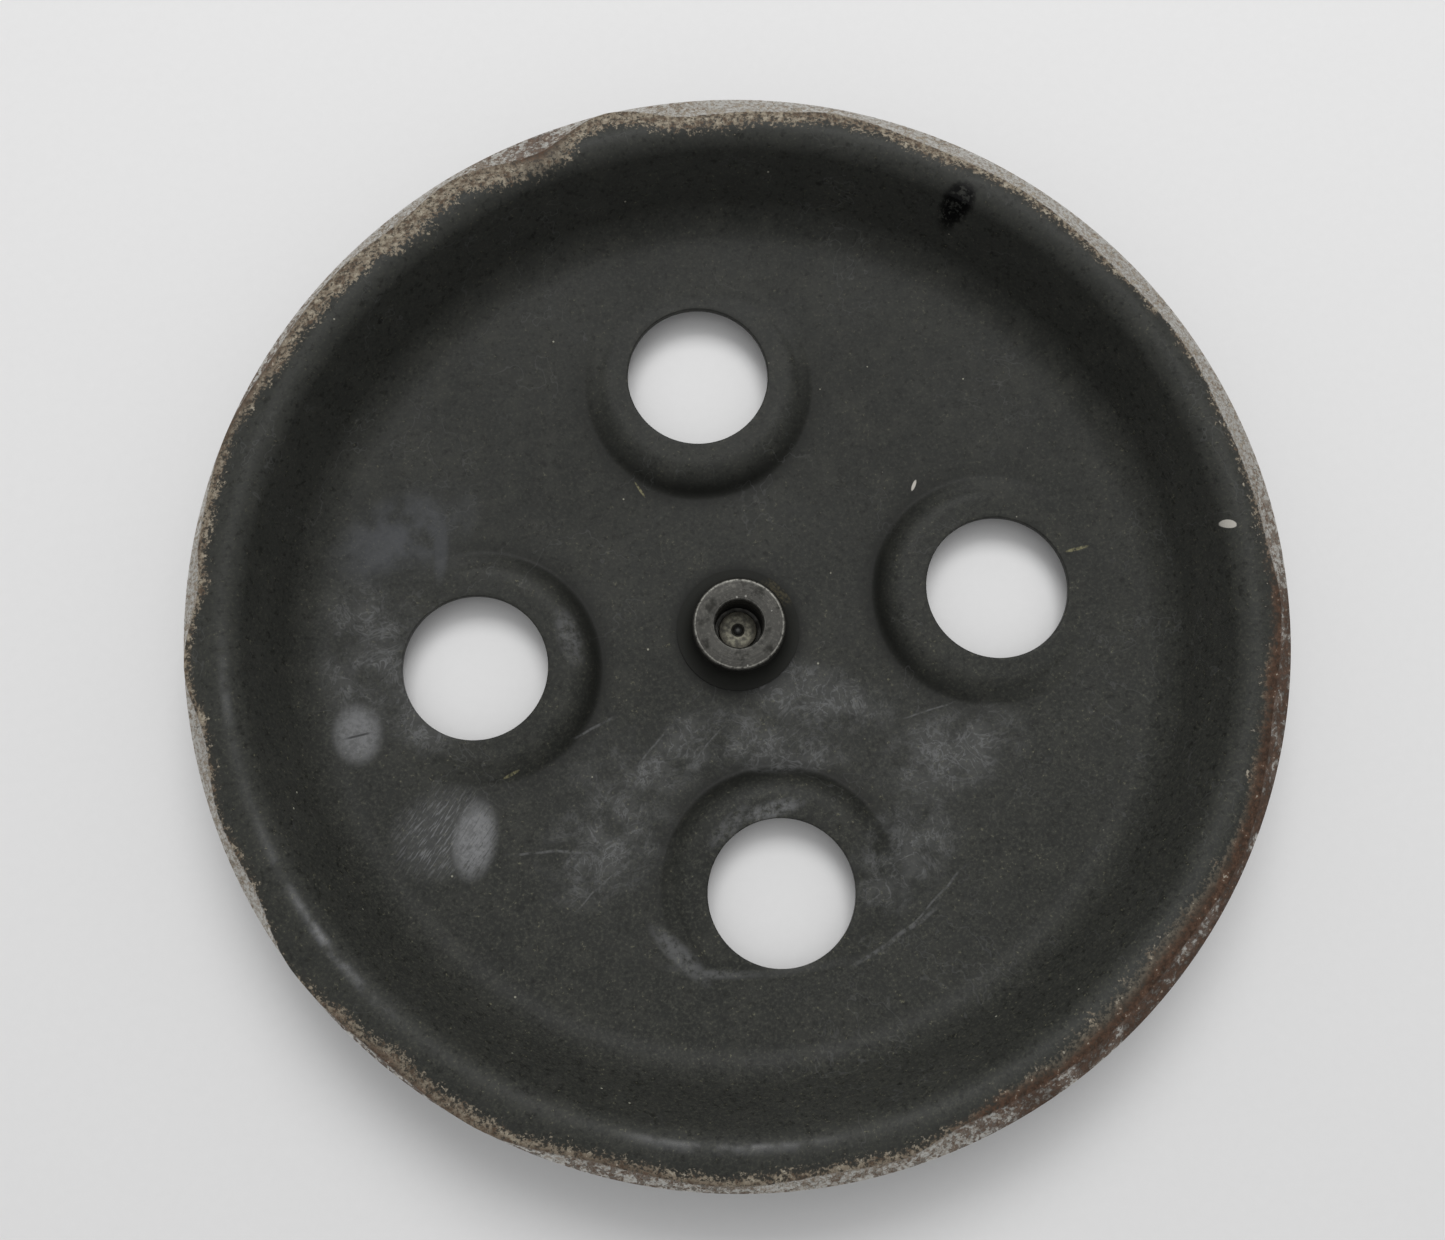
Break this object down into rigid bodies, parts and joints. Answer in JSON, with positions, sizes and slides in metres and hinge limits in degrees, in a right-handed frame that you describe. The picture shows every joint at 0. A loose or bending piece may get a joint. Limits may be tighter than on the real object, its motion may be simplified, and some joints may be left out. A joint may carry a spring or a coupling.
{
  "type": "banding wheel head",
  "caption": "Dished pressed-steel wheel head with round hand holes in raised pads and a short riveted steel hub whose blind socket turns on a spindle.",
  "frame": {"origin": "on the wheel's axis, in the plane that the hub's riveted head rests on", "axes": "+Z along the wheel's axis out of the hub's socket and the hollow side; +X and +Y through the middles of two neighbouring hand holes"},
  "size_m": [0.254, 0.254, 0.0345],
  "materials": {
    "blackened_steel": "worn black paint over pressed steel, bare and rusty at the turned edge",
    "turned_steel": "turned, dulled and stained",
    "button_bronze": "faced, worn and greasy",
    "ball_steel": "polished"
  },
  "bodies": {
    "wheel": {"wheel_disc": "blackened_steel", "hub": "turned_steel", "thrust_button": "button_bronze"},
    "ball": {"thrust_ball": "ball_steel"}
  },
  "joints": [
    {"name": "ball_spin", "type": "hinge", "parent": "wheel", "child": "ball", "pos_m": [0, 0, 0.00201], "axis": [0, 0, 1], "continuous": true}
  ]
}
